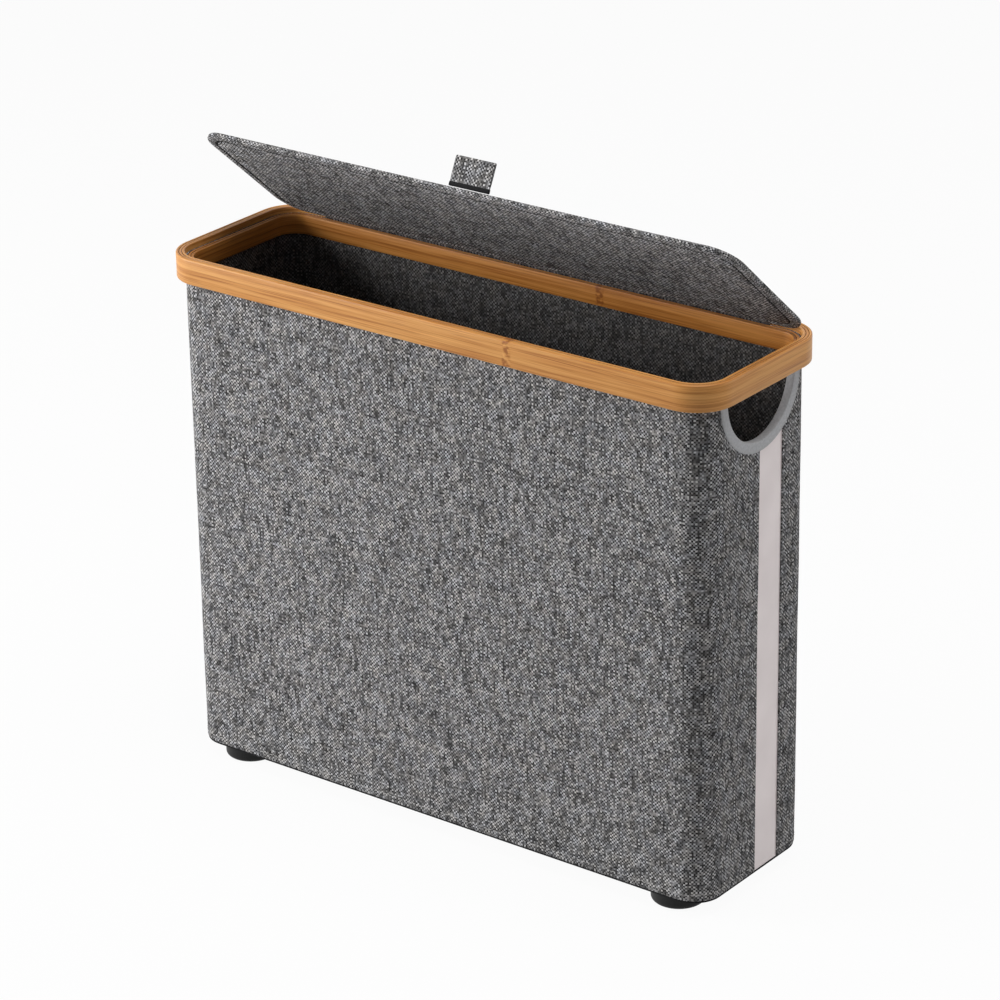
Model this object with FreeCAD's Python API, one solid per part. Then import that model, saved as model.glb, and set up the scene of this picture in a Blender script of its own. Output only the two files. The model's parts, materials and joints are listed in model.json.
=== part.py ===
import FreeCAD, Part
import math
import os

from FreeCAD import Vector

# A slim fabric storage bin with a bamboo rim, a hand cut-out and a cloth-hinged lid.
# Millimetres. X runs along the bin, the front is -Y, Z is up, and the feet stand on Z = 0.
# The hand cut-out and the window are in the right end, +X. The lid is drawn half open.

# Overall size
overall_length = 460.0
overall_depth = 140.0
rim_top_height = 386.0
corner_radius = 28.0

# Bamboo rim
outer_hoop_thickness = 6.5
outer_hoop_height = 18.5
outer_hoop_round = 1.6
inner_hoop_thickness = 4.2
inner_hoop_round = 0.8
lid_rebate = 4.0

# Walls: cover outside, board in the middle, lining inside
cover_thickness = 0.9
board_thickness = 2.4
lining_thickness = 0.7
layer_gap = 0.05
board_joint_gap = 0.6

# Base
base_board_thickness = 3.5
floor_panel_thickness = 2.0
floor_panel_clearance = 0.6

# Window strip in the right end
window_width = 27.5
window_centre_y = 13.25
window_sill = 1.5
window_seam_margin = 6.0
window_thickness = 0.5

# Hand cut-out in the right end
handle_radius = 39.2
binding_width = 6.8
binding_thickness = 0.6

# Feet and their screws
foot_height = 12.0
foot_radius = 19.0
foot_edge_round = 3.0
foot_end_inset = 15.5
foot_side_inset = 3.5
screw_spacing = 18.0
screw_shank_radius = 1.7
screw_head_radius = 3.4
screw_head_height = 2.4
screw_bite = 2.6
screw_clearance = 0.1
counterbore_depth = 6.0
counterbore_clearance = 0.6

# Lid
lid_rest_angle = 41.0
lid_board_thickness = 2.2
lid_cover_thickness = 0.75
lid_panel_thickness = 0.7
lid_hem_width = 6.0
lid_hem_gap = 0.6
lid_end_clearance = 1.5
lid_front_clearance = 1.2
lid_back_clearance = 0.5
lid_seat_gap = 0.3

# Cloth hinge, cut from the lining cloth
hinge_corner_setback = 12.0
hinge_strip_reach = 18.0
hinge_clamp_depth = 10.0
hinge_fold_gap = 0.3

# Pull tab
tab_width = 32.0
tab_height = 21.0
tab_cloth = 0.9
tab_loop_gap = 0.4
tab_setback = 4.0
tab_centre_x = 10.0
tab_lean = 15.0
tab_root_gap = 0.3

# Levels
rim_bottom = rim_top_height - outer_hoop_height
ledge_top = rim_top_height - lid_rebate
body_bottom = foot_height
base_board_bottom = body_bottom + cover_thickness + layer_gap
base_board_top = base_board_bottom + base_board_thickness
wall_bottom = base_board_top + layer_gap
shelf_top = rim_bottom - layer_gap
shelf_bottom = shelf_top - lining_thickness
board_top = shelf_bottom - layer_gap
floor_panel_top = wall_bottom + floor_panel_thickness
window_bottom = body_bottom + window_sill

# Depths of each layer inside the outer hoop's outside face
cover_out = outer_hoop_thickness + layer_gap
cover_in = cover_out + cover_thickness
board_out = cover_in + layer_gap
board_in = board_out + board_thickness
lining_out = board_in + layer_gap
lining_in = lining_out + lining_thickness
clamped_lining_out = cover_in + layer_gap
clamped_lining_in = clamped_lining_out + lining_thickness
inner_hoop_out = clamped_lining_in + layer_gap
inner_hoop_in = inner_hoop_out + inner_hoop_thickness
base_edge = board_out + window_thickness + layer_gap

# Ends of the straight runs between the rounded corners
straight_half_x = overall_length / 2 - corner_radius
straight_half_y = overall_depth / 2 - corner_radius

# Window edges along Y
window_front = window_centre_y - window_width / 2
window_back = window_centre_y + window_width / 2
sheet_front = window_front - window_seam_margin
sheet_back = window_back + window_seam_margin

# Hinge axis: the middle of the cloth strip, level with the lid's top
lid_bottom = ledge_top + lid_seat_gap
lid_top = lid_bottom + lid_panel_thickness + lid_board_thickness + lid_cover_thickness + 2 * layer_gap
hinge_y = overall_depth / 2 - clamped_lining_out - lining_thickness / 2
hinge_z = lid_top + layer_gap + lining_thickness / 2
hinge_point = Vector(0, hinge_y, hinge_z)
hinge_strip_length = 2 * (straight_half_x - hinge_corner_setback)

# Lid outline when shut
lid_half_length = overall_length / 2 - outer_hoop_thickness - lid_end_clearance
lid_front = -(overall_depth / 2 - outer_hoop_thickness - lid_front_clearance)
lid_back = hinge_y - lining_thickness / 2 - lid_back_clearance
lid_corner = corner_radius - outer_hoop_thickness - lid_end_clearance

# Tab root when the lid is shut
tab_half = tab_cloth + tab_loop_gap / 2
tab_root = Vector(tab_centre_x, lid_front + tab_setback, lid_top + tab_root_gap + tab_half)

# A cutter reaches this far past what it cuts
reach = overall_length


def rounded_plan(x_low, x_high, y_low, y_high, radius):
    """A flat rounded rectangle at Z = 0."""
    diagonal = radius * (1 - math.cos(math.radians(45)))
    corners = [
        (x_high, y_low, -1, 1),
        (x_high, y_high, -1, -1),
        (x_low, y_high, 1, -1),
        (x_low, y_low, 1, 1),
    ]
    points = []
    for x, y, toward_x, toward_y in corners:
        along_x = Vector(x + toward_x * radius, y, 0)
        along_y = Vector(x, y + toward_y * radius, 0)
        middle = Vector(x + toward_x * diagonal, y + toward_y * diagonal, 0)
        start, end = (along_x, along_y) if toward_x * toward_y < 0 else (along_y, along_x)
        points.append((start, middle, end))
    edges = []
    for index, (start, middle, end) in enumerate(points):
        edges.append(Part.Arc(start, middle, end).toShape())
        following = points[(index + 1) % len(points)][0]
        edges.append(Part.LineSegment(end, following).toShape())
    return Part.Face(Part.Wire(edges))


def slab(depth_in, z_low, z_high):
    """A solid block with the bin's plan, set in from the outer hoop's outside face."""
    half_x = overall_length / 2 - depth_in
    half_y = overall_depth / 2 - depth_in
    face = rounded_plan(-half_x, half_x, -half_y, half_y, corner_radius - depth_in)
    face.translate(Vector(0, 0, z_low))
    return face.extrude(Vector(0, 0, z_high - z_low))


def sleeve(out, inside, z_low, z_high):
    """A wall that follows the bin's plan between two depths."""
    return slab(out, z_low, z_high).cut(slab(inside, z_low, z_high))


def block(x_low, x_high, y_low, y_high, z_low, z_high):
    """A plain box between two corners."""
    box = Part.makeBox(x_high - x_low, y_high - y_low, z_high - z_low)
    box.translate(Vector(x_low, y_low, z_low))
    return box


def level_edges(shape, z):
    """The edges that lie flat at one height."""
    return [edge for edge in shape.Edges
            if abs(edge.BoundBox.ZMin - z) < 1e-6 and abs(edge.BoundBox.ZMax - z) < 1e-6]


def half_disc(radius, top):
    """A half-round cutter along X through the right end, flat side up."""
    disc = Part.makeCylinder(radius, reach, Vector(0, 0, rim_bottom), Vector(1, 0, 0))
    return disc.common(block(0, reach, -radius, radius, rim_bottom - radius, top))


def window_slot(z_low):
    """A cutter through the right end, as wide as the clear window, up to the hand cut-out."""
    return block(0, reach, window_front, window_back, z_low, rim_bottom - handle_radius / 2)


handle_cut = half_disc(handle_radius, rim_bottom)


def make_rim():
    """The two bamboo hoops."""
    outer = sleeve(0, outer_hoop_thickness, rim_bottom, rim_top_height)
    outer = outer.makeFillet(outer_hoop_round, level_edges(outer, rim_top_height))
    outside_low = [edge for edge in level_edges(outer, rim_bottom) if lies_on_outside(edge)]
    outer = outer.makeFillet(outer_hoop_round, outside_low)
    inner = sleeve(inner_hoop_out, inner_hoop_in, rim_bottom, ledge_top)
    inner = inner.makeFillet(inner_hoop_round, level_edges(inner, ledge_top))
    return {"rim_outer_hoop": outer, "rim_inner_hoop": inner}


def lies_on_outside(edge):
    """Whether an edge runs along the outer hoop's outside face."""
    middle = edge.valueAt((edge.FirstParameter + edge.LastParameter) / 2)
    core_x = max(abs(middle.x) - straight_half_x, 0)
    core_y = max(abs(middle.y) - straight_half_y, 0)
    return math.hypot(core_x, core_y) > corner_radius - outer_hoop_thickness / 2


def make_walls():
    """Cover, stiffening boards and lining."""
    cover = sleeve(cover_out, cover_in, body_bottom, ledge_top)
    cover = cover.cut(handle_cut).cut(window_slot(window_bottom))

    boards = sleeve(board_out, board_in, wall_bottom, board_top).cut(handle_cut)
    split = straight_half_x - board_joint_gap / 2
    corner_start = straight_half_x + board_joint_gap / 2
    front = boards.common(block(-split, split, -reach, 0, 0, reach))
    back = boards.common(block(-split, split, 0, reach, 0, reach))
    left = boards.common(block(-reach, -corner_start, -reach, reach, 0, reach))
    right_front = boards.common(block(corner_start, reach, -reach, sheet_front - board_joint_gap, 0, reach))
    right_back = boards.common(block(corner_start, reach, sheet_back + board_joint_gap, reach, 0, reach))

    lining = sleeve(lining_out, lining_in, wall_bottom, shelf_top)
    lining = lining.fuse(sleeve(clamped_lining_out, lining_in, shelf_bottom, shelf_top))
    lining = lining.fuse(sleeve(clamped_lining_out, clamped_lining_in, shelf_bottom, ledge_top))
    lining = lining.removeSplitter().cut(handle_cut).cut(window_slot(wall_bottom))
    hinge_half = hinge_strip_length / 2 + layer_gap
    hinge_low = ledge_top - hinge_clamp_depth - layer_gap
    lining = lining.cut(block(-hinge_half, hinge_half, 0, reach, hinge_low, reach))
    return {
        "outer_cover": cover,
        "front_board": front,
        "back_board": back,
        "left_end_board": left,
        "right_end_board_front": right_front,
        "right_end_board_back": right_back,
        "lining_sleeve": lining,
    }


def make_window():
    """The see-through strip behind the slit, from the base seam up to the hand cut-out's edge."""
    layer = sleeve(board_out, board_out + window_thickness, body_bottom, board_top)
    strip = layer.common(block(0, reach, sheet_front, sheet_back, body_bottom, board_top))
    return {"window_sheet": strip.cut(handle_cut)}


def make_handle_binding():
    """Tape folded over the edge of the hand cut-out: a leg outside, a leg inside, and a fold."""
    tape_top = rim_bottom - layer_gap
    wide = half_disc(handle_radius + binding_width, tape_top)
    edge = half_disc(handle_radius - layer_gap, tape_top)
    mouth = half_disc(handle_radius - layer_gap - binding_thickness, tape_top)
    z_low = rim_bottom - handle_radius - binding_width
    outside_face = cover_out - layer_gap - binding_thickness
    inside_face = lining_in + layer_gap + binding_thickness
    outer_leg = sleeve(outside_face, cover_out - layer_gap, z_low, tape_top)
    inner_leg = sleeve(lining_in + layer_gap, inside_face, z_low, tape_top)
    fold = sleeve(outside_face, inside_face, z_low, tape_top)
    ring = wide.cut(mouth)
    tape = outer_leg.common(ring).fuse(inner_leg.common(ring)).fuse(fold.common(edge.cut(mouth)))
    return {"handle_binding": tape.removeSplitter()}


def foot_places():
    """Each foot's name and centre."""
    centre_x = overall_length / 2 - outer_hoop_thickness - foot_end_inset - foot_radius
    centre_y = overall_depth / 2 - outer_hoop_thickness - foot_side_inset - foot_radius
    for side, sign_y in (("front", -1), ("back", 1)):
        for end, sign_x in (("left", -1), ("right", 1)):
            yield f"foot_{side}_{end}", sign_x * centre_x, sign_y * centre_y


def screw_places(centre_x, centre_y):
    """The two screws of one foot."""
    for sign in (-1, 1):
        yield Vector(centre_x + sign * screw_spacing / 2, centre_y, 0)


def make_base():
    """Base cover and board, floor panel, feet and screws."""
    up = Vector(0, 0, 1)
    cover = slab(base_edge, body_bottom, body_bottom + cover_thickness)
    board = slab(base_edge, base_board_bottom, base_board_top)
    floor_depth = lining_in + floor_panel_clearance
    floor = slab(floor_depth, wall_bottom, floor_panel_top)
    hole_radius = screw_shank_radius + screw_clearance
    recess_radius = screw_head_radius + counterbore_clearance
    screw_top = base_board_bottom + screw_bite
    parts = {}
    screws = []
    for name, centre_x, centre_y in foot_places():
        foot = Part.makeCylinder(foot_radius, foot_height, Vector(centre_x, centre_y, 0), up)
        foot = foot.makeFillet(foot_edge_round, level_edges(foot, 0))
        for place in screw_places(centre_x, centre_y):
            foot = foot.cut(Part.makeCylinder(hole_radius, foot_height, place, up))
            foot = foot.cut(Part.makeCylinder(recess_radius, counterbore_depth, place, up))
            hole = Part.makeCylinder(hole_radius, screw_top + screw_clearance, place, up)
            cover = cover.cut(hole)
            board = board.cut(hole)
            head_low = place + Vector(0, 0, counterbore_depth - screw_head_height)
            head = Part.makeCylinder(screw_head_radius, screw_head_height, head_low, up)
            shank = Part.makeCylinder(screw_shank_radius, screw_top - head_low.z, head_low, up)
            screws.append(head.fuse(shank).removeSplitter())
        parts[name] = foot
    parts["base_cover"] = cover
    parts["base_board"] = board
    parts["lining_floor"] = floor
    parts["foot_screws"] = Part.makeCompound(screws)
    return parts


def lid_plate(set_in, z_low, z_high):
    """A plate with the lid's outline, drawn shut."""
    plan = rounded_plan(-lid_half_length + set_in, lid_half_length - set_in,
                        lid_front + set_in, lid_back - set_in, lid_corner - set_in)
    plan.translate(Vector(0, 0, z_low))
    return plan.extrude(Vector(0, 0, z_high - z_low))


def make_lid():
    """Board, cover turned under along the edge, and under panel, drawn shut."""
    panel_top = lid_bottom + lid_panel_thickness
    board_low = panel_top + layer_gap
    board_high = board_low + lid_board_thickness
    board_edge = lid_cover_thickness + layer_gap
    board = lid_plate(board_edge, board_low, board_high)
    cover = lid_plate(0, lid_bottom, lid_top)
    cover = cover.cut(lid_plate(lid_cover_thickness, panel_top, board_high + layer_gap))
    cover = cover.cut(lid_plate(lid_hem_width, lid_bottom, panel_top))
    panel = lid_plate(lid_hem_width + lid_hem_gap, lid_bottom, panel_top)
    return {"lid_board": board, "lid_top_cover": cover, "lid_under_panel": panel}


def make_hinge_leaves():
    """The cloth hinge: one leaf clamped between the hoops, one sewn on the lid's top."""
    half = hinge_strip_length / 2
    half_cloth = lining_thickness / 2
    rim_leaf = block(-half, half, hinge_y - half_cloth, hinge_y + half_cloth,
                     ledge_top - hinge_clamp_depth, hinge_z - half_cloth - hinge_fold_gap)
    lid_leaf = block(-half, half, hinge_y - hinge_strip_reach, hinge_y,
                     hinge_z - half_cloth, hinge_z + half_cloth)
    nose = Part.makeCylinder(half_cloth, hinge_strip_length,
                             Vector(-half, hinge_y, hinge_z), Vector(1, 0, 0))
    return rim_leaf, lid_leaf.fuse(nose).removeSplitter()


def loop_profile(low, high, half_width):
    """A slim upright shape with round ends, in the YZ plane through the tab's root."""
    x = tab_root.x - tab_width / 2
    y = tab_root.y
    bottom = tab_root.z + low
    top = tab_root.z + high
    edges = [
        Part.LineSegment(Vector(x, y + half_width, bottom), Vector(x, y + half_width, top)).toShape(),
        Part.Arc(Vector(x, y + half_width, top), Vector(x, y, top + half_width),
                 Vector(x, y - half_width, top)).toShape(),
        Part.LineSegment(Vector(x, y - half_width, top), Vector(x, y - half_width, bottom)).toShape(),
        Part.Arc(Vector(x, y - half_width, bottom), Vector(x, y, bottom - half_width),
                 Vector(x, y + half_width, bottom)).toShape(),
    ]
    return Part.Face(Part.Wire(edges)).extrude(Vector(tab_width, 0, 0))


def make_tab():
    """A folded cloth loop with a round root, drawn on the shut lid and leaning forwards."""
    loop_top = tab_height - tab_half
    loop = loop_profile(0, loop_top, tab_half)
    slit = loop_profile(2 * tab_half, loop_top, tab_loop_gap / 2)
    tab = loop.cut(slit)
    tab.rotate(tab_root, Vector(1, 0, 0), tab_lean)
    return tab


def main():
    """Builds every piece, opens the lid to its rest angle and writes one file per piece."""
    pieces = {}
    for group in (make_rim(), make_walls(), make_window(), make_handle_binding(), make_base()):
        pieces.update(group)
    rim_leaf, lid_leaf = make_hinge_leaves()
    pieces["hinge_strip_rim_leaf"] = rim_leaf
    moving = make_lid()
    moving["hinge_strip_lid_leaf"] = lid_leaf
    moving["pull_tab"] = make_tab()
    for name, shape in moving.items():
        shape.rotate(hinge_point, Vector(-1, 0, 0), lid_rest_angle)
        pieces[name] = shape
    os.makedirs("parts", exist_ok=True)
    for name, shape in pieces.items():
        if not shape.isValid():
            raise ValueError(f"{name} isn't a valid solid")
        shape.exportStep(f"parts/{name}.step")
        print(name, len(shape.Solids), "solid", round(shape.Volume / 1000, 2), "cm3")
    root = FreeCAD.Placement(Vector(), FreeCAD.Rotation(Vector(-1, 0, 0), lid_rest_angle), hinge_point)
    print("lid hinge", round(hinge_y, 3), round(hinge_z, 3))
    print("tab root at rest", [round(v, 3) for v in root.multVec(tab_root)])
    print("inside depth", round(overall_depth / 2 - inner_hoop_in, 3), "floor", round(floor_panel_top, 3))


main()
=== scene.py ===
# %% [markdown]
# A slim cloth bin with a bamboo rim, dressed for the camera.
# The solids come in as a fixed frame: they say where every piece sits and how it moves.
# This lesson puts cloth, bamboo, tape and stitches round them, one piece at a time.

# %% Load the frame
import json
import math

import bpy
from mathutils import Matrix, Vector, noise


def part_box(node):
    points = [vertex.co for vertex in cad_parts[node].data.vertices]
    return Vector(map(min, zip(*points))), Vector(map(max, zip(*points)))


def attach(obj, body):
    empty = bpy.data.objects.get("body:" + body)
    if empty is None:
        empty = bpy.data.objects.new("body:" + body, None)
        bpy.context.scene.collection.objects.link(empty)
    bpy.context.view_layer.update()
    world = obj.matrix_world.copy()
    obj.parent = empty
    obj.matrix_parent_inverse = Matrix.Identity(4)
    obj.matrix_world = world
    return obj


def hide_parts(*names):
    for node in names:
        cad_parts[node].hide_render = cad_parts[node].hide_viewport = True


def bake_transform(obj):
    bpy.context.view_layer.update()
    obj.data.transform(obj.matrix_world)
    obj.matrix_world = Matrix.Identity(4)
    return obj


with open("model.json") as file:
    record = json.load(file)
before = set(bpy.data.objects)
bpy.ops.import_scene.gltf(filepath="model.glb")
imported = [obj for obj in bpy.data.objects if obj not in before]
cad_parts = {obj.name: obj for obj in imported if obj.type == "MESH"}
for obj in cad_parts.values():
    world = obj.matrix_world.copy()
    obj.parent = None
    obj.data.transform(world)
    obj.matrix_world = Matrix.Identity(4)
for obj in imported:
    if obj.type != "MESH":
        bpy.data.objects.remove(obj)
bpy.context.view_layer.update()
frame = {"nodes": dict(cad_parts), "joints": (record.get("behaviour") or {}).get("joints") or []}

MM = 0.001

# %% [markdown]
# Sizes are read from the frame, so that a piece lands where its solid is.
# The bin's plan is a rounded rectangle. Every wall follows it at some depth inside the rim's outside face,
# so one depth is enough to place a layer.

# %% Sizes from the frame
rim_low, rim_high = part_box("rim_outer_hoop")
ledge_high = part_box("rim_inner_hoop")[1]
cover_low, cover_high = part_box("outer_cover")
board_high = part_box("front_board")[1]
floor_low, floor_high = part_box("lining_floor")
film_low, film_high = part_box("window_sheet")
tape_low, tape_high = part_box("handle_binding")
leaf_low, leaf_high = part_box("hinge_strip_rim_leaf")

HALF_X = rim_high.x
HALF_Y = rim_high.y
RIM_TOP = rim_high.z
RIM_BOTTOM = rim_low.z
LEDGE_TOP = ledge_high.z
BODY_BOTTOM = cover_low.z
CORNER = 28 * MM
STRAIGHT_X = HALF_X - CORNER
STRAIGHT_Y = HALF_Y - CORNER
COVER_DEPTH = HALF_X - cover_high.x
COVER_CLOTH = 0.9 * MM
LINING_CLOTH = 0.7 * MM
LINING_DEPTH = HALF_Y + board_high.y
SEAM_MARGIN = 6 * MM
WINDOW_FRONT = film_low.y + SEAM_MARGIN
WINDOW_BACK = film_high.y - SEAM_MARGIN
TAPE_RADIUS = tape_high.y
half_leaf = leaf_high.x
print("plan", HALF_X, HALF_Y, "window", round(WINDOW_FRONT, 4), round(WINDOW_BACK, 4),
      "tape", round(TAPE_RADIUS, 4))

# %% [markdown]
# The lid is drawn half open, so its pieces are easier to model shut and then turned about the hinge.
# The same turn, run backwards, gives the size of a lid solid when the lid is shut.

# %% The lid's turn
joints = {joint["name"]: joint for joint in frame["joints"]}
HINGE = Vector(joints["lid_hinge"]["pos_m"])
LID_OPEN = -math.radians(joints["lid_hinge"]["range_deg"][0])
LID_TURN = (Matrix.Translation(HINGE)
            @ Matrix.Rotation(LID_OPEN, 4, Vector(joints["lid_hinge"]["axis"]))
            @ Matrix.Translation(-HINGE))


def shut_box(node):
    """The lowest and highest corner of a lid solid with the lid shut."""
    back = LID_TURN.inverted()
    points = [back @ vertex.co for vertex in frame["nodes"][node].data.vertices]
    low = Vector([min(point[axis] for point in points) for axis in range(3)])
    high = Vector([max(point[axis] for point in points) for axis in range(3)])
    return low, high


lid_low, lid_high = shut_box("lid_top_cover")
panel_low, panel_high = shut_box("lid_under_panel")
TAB_ROOT = LID_TURN.inverted() @ Vector(joints["tab_flex"]["pos_m"])
print("lid shut", [round(v, 4) for v in lid_low], [round(v, 4) for v in lid_high])

# %% [markdown]
# The camera stands where the photograph was taken from: a long lens, to the right of the front and above
# the rim. Its place was solved from the rim, the base and the corners, and it leans by about one degree.
# Three directions worked out one by one also give the lean.

# %% Camera
CAMERA_AZIMUTH = math.radians(37.368)
CAMERA_HEIGHT = math.radians(23.130)
CAMERA_LEAN = math.radians(-0.870)
CAMERA_DISTANCE = 2.713
CAMERA_TARGET = Vector((0.0262, -0.0205, 0.2453))
CAMERA_LENS = 143.67
CAMERA_SENSOR = 36
CAMERA_REACH = 20

backward = Vector((math.sin(CAMERA_AZIMUTH) * math.cos(CAMERA_HEIGHT),
                   -math.cos(CAMERA_AZIMUTH) * math.cos(CAMERA_HEIGHT),
                   math.sin(CAMERA_HEIGHT)))
level = Vector((math.cos(CAMERA_AZIMUTH), math.sin(CAMERA_AZIMUTH), 0))
upward = backward.cross(level)
right = math.cos(CAMERA_LEAN) * level + math.sin(CAMERA_LEAN) * upward
upright = backward.cross(right)
bpy.ops.object.select_all(action="DESELECT")
bpy.ops.object.camera_add()
camera = bpy.context.object
camera.name = "camera"
camera.matrix_world = Matrix.Translation(CAMERA_TARGET + backward * CAMERA_DISTANCE) @ Matrix(
    (right, upright, backward)).transposed().to_4x4()
camera.data.lens = CAMERA_LENS
camera.data.sensor_width = CAMERA_SENSOR
camera.data.clip_end = CAMERA_REACH
bpy.context.scene.camera = camera
print("camera at", [round(v, 3) for v in camera.location])

# %% [markdown]
# Shader maths reads best as plain arithmetic. A small class wraps a socket, so that adding two sockets
# adds a Math node, and one method makes any other node from its settings and its inputs.


# %% Shader arithmetic
class Wire:
    """One shader socket, which arithmetic joins to others."""

    def __init__(self, finish, socket):
        self.finish = finish
        self.socket = socket

    def __add__(self, other):
        return self.finish.math("ADD", self, other)

    def __radd__(self, other):
        return self.finish.math("ADD", other, self)

    def __sub__(self, other):
        return self.finish.math("SUBTRACT", self, other)

    def __rsub__(self, other):
        return self.finish.math("SUBTRACT", other, self)

    def __mul__(self, other):
        return self.finish.math("MULTIPLY", self, other)

    def __truediv__(self, other):
        return self.finish.math("DIVIDE", self, other)

    def __mod__(self, other):
        return self.finish.math("FLOORED_MODULO", self, other)


class Finish:
    """A material being made."""

    def __init__(self, name):
        self.material = bpy.data.materials.new(name)
        self.material.use_nodes = True
        self.tree = self.material.node_tree
        self.shader = self.tree.nodes["Principled BSDF"]

    def feed(self, socket, value):
        """Links a wire to a socket, or sets the socket to a plain value."""
        if isinstance(value, Wire):
            self.tree.links.new(value.socket, socket)
        else:
            socket.default_value = value

    def node(self, kind, settings=None, sockets=None, output=0):
        """Adds a node: its settings first, then what its sockets take."""
        made = self.tree.nodes.new(kind)
        for key, value in (settings or {}).items():
            if key == "stops":
                while len(made.color_ramp.elements) < len(value):
                    made.color_ramp.elements.new(1)
                for element, (place, colour) in zip(made.color_ramp.elements, value):
                    element.position = place
                    element.color = (*colour, 1)
            else:
                setattr(made, key, value)
        for key, value in (sockets or {}).items():
            self.feed(made.inputs[key], value)
        return Wire(self, made.outputs[output])

    def math(self, operation, *values):
        """One Math node."""
        return self.node("ShaderNodeMath", {"operation": operation}, dict(enumerate(values)))

    def split(self, vector):
        """The three parts of a vector."""
        first = self.node("ShaderNodeSeparateXYZ", sockets={0: vector})
        return [Wire(self, socket) for socket in first.socket.node.outputs]

    def join(self, x, y, z):
        """A vector from three parts."""
        return self.node("ShaderNodeCombineXYZ", sockets={0: x, 1: y, 2: z})

    def ramp(self, value, stops):
        """Colours chosen by a value."""
        return self.node("ShaderNodeValToRGB", {"stops": stops}, {0: value})

    def mix(self, factor, first, second, blend="MIX"):
        """Two colours mixed."""
        return self.node("ShaderNodeMix", {"data_type": "RGBA", "blend_type": blend},
                         {0: factor, 6: first, 7: second}, output=2)

    def between(self, value, low, high):
        """0 below low, 1 above high, and smooth between."""
        return self.node("ShaderNodeMapRange", {"interpolation_type": "SMOOTHSTEP"},
                         {"Value": value, "From Min": low, "From Max": high})

    def bump(self, height, strength, distance):
        """A normal that follows a height."""
        return self.node("ShaderNodeBump", sockets={
            "Strength": strength, "Distance": distance, "Height": height})

    def give(self, **values):
        """Sets the shader's own sockets: a word per socket, with _ for a space."""
        for key, value in values.items():
            self.feed(self.shader.inputs[key.replace("_", " ")], value)
        return self.material


def grey(level):
    """A neutral colour."""
    return (level, level, level)


print("shader arithmetic ready")

# %% [markdown]
# The cloth is a plain weave of mottled yarn: each yarn changes from dark to light along its length, and the
# weave shows the warp and the weft in turn, which breaks the streaks into salt-and-pepper flecks. The yarns
# wobble a little, and some stretches are thick and dark.
# A picture of cloth would do for one view. Yarns worked out from the flat cut hold up in any view, so each
# cloth piece carries a UV map in metres, and the pattern counts yarns on it.

# %% Cloth sizes
YARN_PITCH = 1.35 * MM
YARN_RUN = 15 * MM
SLUB_RUN = 18 * MM
MOTTLE_SIZE = 16 * MM
TINT_SIZE = MOTTLE_SIZE / 1.7
WOBBLE_SIZE = 4 * MM
WOBBLE = 0.7
YARN_STEP = 1.73
SLUB_STEP = 1.37
SLUB_DARKENS = 0.20
MOTTLE_SHARE = 0.12
FLECK_SHARE = 0.30
CROSSING_SHARE = 1.1
CROSSING_LOSS = 0.05
MIDDLE_TONE = 0.485
TONE_HEIGHT = 0.6
YARN_HEIGHT = 0.3 * MM
CLOTH_ROUGHNESS = 0.92
CLOTH_SHINE = 0.16
print("cloth", YARN_PITCH / MM, "mm between yarns")

# %% [markdown]
# Each number added inside a pattern below moves it, so that no two patterns are alike.


# %% Cloth finishes
def woven(name, stops, contrast, bump_strength):
    """Mottled plain weave. stops are the yarn's colours from dark to light."""
    f = Finish(name)
    u, v, _ = f.split(f.node("ShaderNodeUVMap"))

    def cloudy(first, second, detail):
        return f.node("ShaderNodeTexNoise", {"noise_dimensions": "2D"}, {
            "Vector": f.join(first, second, 0), "Scale": 1.0, "Detail": detail})

    def chance(first, second):
        return f.node("ShaderNodeTexWhiteNoise", {"noise_dimensions": "2D"}, {
            "Vector": f.join(first, second, 0)})

    across = u / YARN_PITCH + (cloudy(u / WOBBLE_SIZE, v / WOBBLE_SIZE, 1.0) - 0.5) * WOBBLE
    along = v / YARN_PITCH + (cloudy(u / WOBBLE_SIZE + 9.1, v / WOBBLE_SIZE, 1.0) - 0.5) * WOBBLE
    warp = f.math("FLOOR", across)
    weft = f.math("FLOOR", along)
    warp_shows = (warp + weft) % 2
    warp_tone = cloudy(warp * YARN_STEP, v / YARN_RUN, 1.0)
    weft_tone = cloudy(u / YARN_RUN + 31.7, weft * YARN_STEP, 1.0)
    thick_warp = f.between(cloudy(warp * SLUB_STEP + 5.3, v / SLUB_RUN, 0.0), 0.64, 0.74)
    thick_weft = f.between(cloudy(u / SLUB_RUN, weft * SLUB_STEP, 0.0), 0.60, 0.72)
    slub = thick_weft + (thick_warp - thick_weft) * warp_shows
    mottle = cloudy(u / MOTTLE_SIZE, v / MOTTLE_SIZE, 2.0)
    fleck = chance(warp, weft)
    crossing = chance(warp + 0.5, weft + 0.5) * CROSSING_SHARE - CROSSING_LOSS
    yarn = weft_tone + (warp_tone - weft_tone) * warp_shows
    tone = (yarn - 0.5) * contrast - slub * SLUB_DARKENS
    tone = tone + (mottle - 0.5) * MOTTLE_SHARE + (fleck - 0.5) * FLECK_SHARE
    tone = tone + (warp_shows - 0.5) * crossing + MIDDLE_TONE
    tint = cloudy(u / TINT_SIZE + 7.3, v / TINT_SIZE, 2.0)
    warmth = f.ramp(tint, [(0.3, (0.95, 0.955, 1.0)), (0.7, (1.0, 0.965, 0.94))])
    colour = f.mix(1.0, f.ramp(tone, stops), warmth, "MULTIPLY")
    round_warp = f.math("SINE", (across % 1) * math.pi)
    round_weft = f.math("SINE", (along % 1) * math.pi)
    height = round_weft + (round_warp - round_weft) * warp_shows + yarn * TONE_HEIGHT
    return f.give(Base_Color=colour, Roughness=CLOTH_ROUGHNESS, Specular_IOR_Level=CLOTH_SHINE,
                  Normal=f.bump(height, bump_strength, YARN_HEIGHT))


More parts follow.
